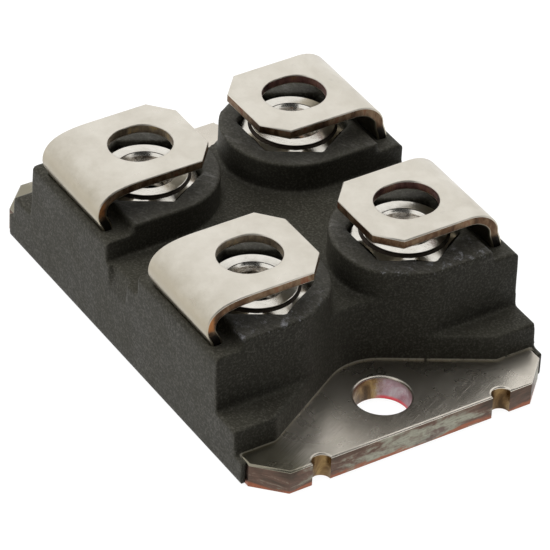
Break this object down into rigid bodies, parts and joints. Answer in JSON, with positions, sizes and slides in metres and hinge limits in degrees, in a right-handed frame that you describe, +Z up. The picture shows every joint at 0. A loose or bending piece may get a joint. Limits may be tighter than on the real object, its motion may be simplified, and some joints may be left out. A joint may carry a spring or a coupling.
{
  "type": "igbt module",
  "caption": "Isolated power module: flat plated base with two mounting holes, stepped black moulding and folded screw terminals over captive nuts.",
  "frame": {"origin": "centre of the baseplate's bottom face, which rests on the heatsink", "axes": "+Z up out of the heatsink, X along the line of the two mounting holes (the long way), Y across the body; the gate terminal is at -X -Y"},
  "size_m": [0.0382, 0.0253, 0.0121],
  "materials": {
    "moulding": "matte black moulding compound, slightly scuffed on the boss tops",
    "plate_nickel": "nickel plating on copper, bare oxidised copper on the cut edges",
    "terminal_nickel": "satin nickel plating, bare oxidised copper on the cut edges",
    "nut_nickel": "bright nickel plating",
    "solder": "dull solder",
    "copper": "bare copper bonded to ceramic",
    "ceramic": "white fired ceramic",
    "silicon": "polished silicon",
    "aluminium": "bright aluminium",
    "gel": "clear soft silicone"
  },
  "bodies": {
    "root": {"baseplate": "plate_nickel", "housing": "moulding", "terminal_gate": "terminal_nickel", "terminal_sense": "terminal_nickel", "terminal_emitter": "terminal_nickel", "terminal_collector": "terminal_nickel", "nut_gate": "nut_nickel", "nut_sense": "nut_nickel", "nut_emitter": "nut_nickel", "nut_collector": "nut_nickel", "base_solder": "solder", "back_copper": "copper", "ceramic": "ceramic", "track_gate": "copper", "track_sense": "copper", "track_emitter": "copper", "track_collector": "copper", "igbt_solder": "solder", "igbt_die": "silicon", "igbt_emitter_pads": "aluminium", "igbt_gate_pad": "aluminium", "diode_solder": "solder", "diode_die": "silicon", "diode_anode_pad": "aluminium", "wires_emitter": "aluminium", "wires_diode": "aluminium", "wire_gate": "aluminium", "wire_sense": "aluminium", "joint_gate": "solder", "joint_sense": "solder", "joint_emitter": "solder", "joint_collector": "solder", "silicone_gel": "gel"}
  },
  "joints": []
}
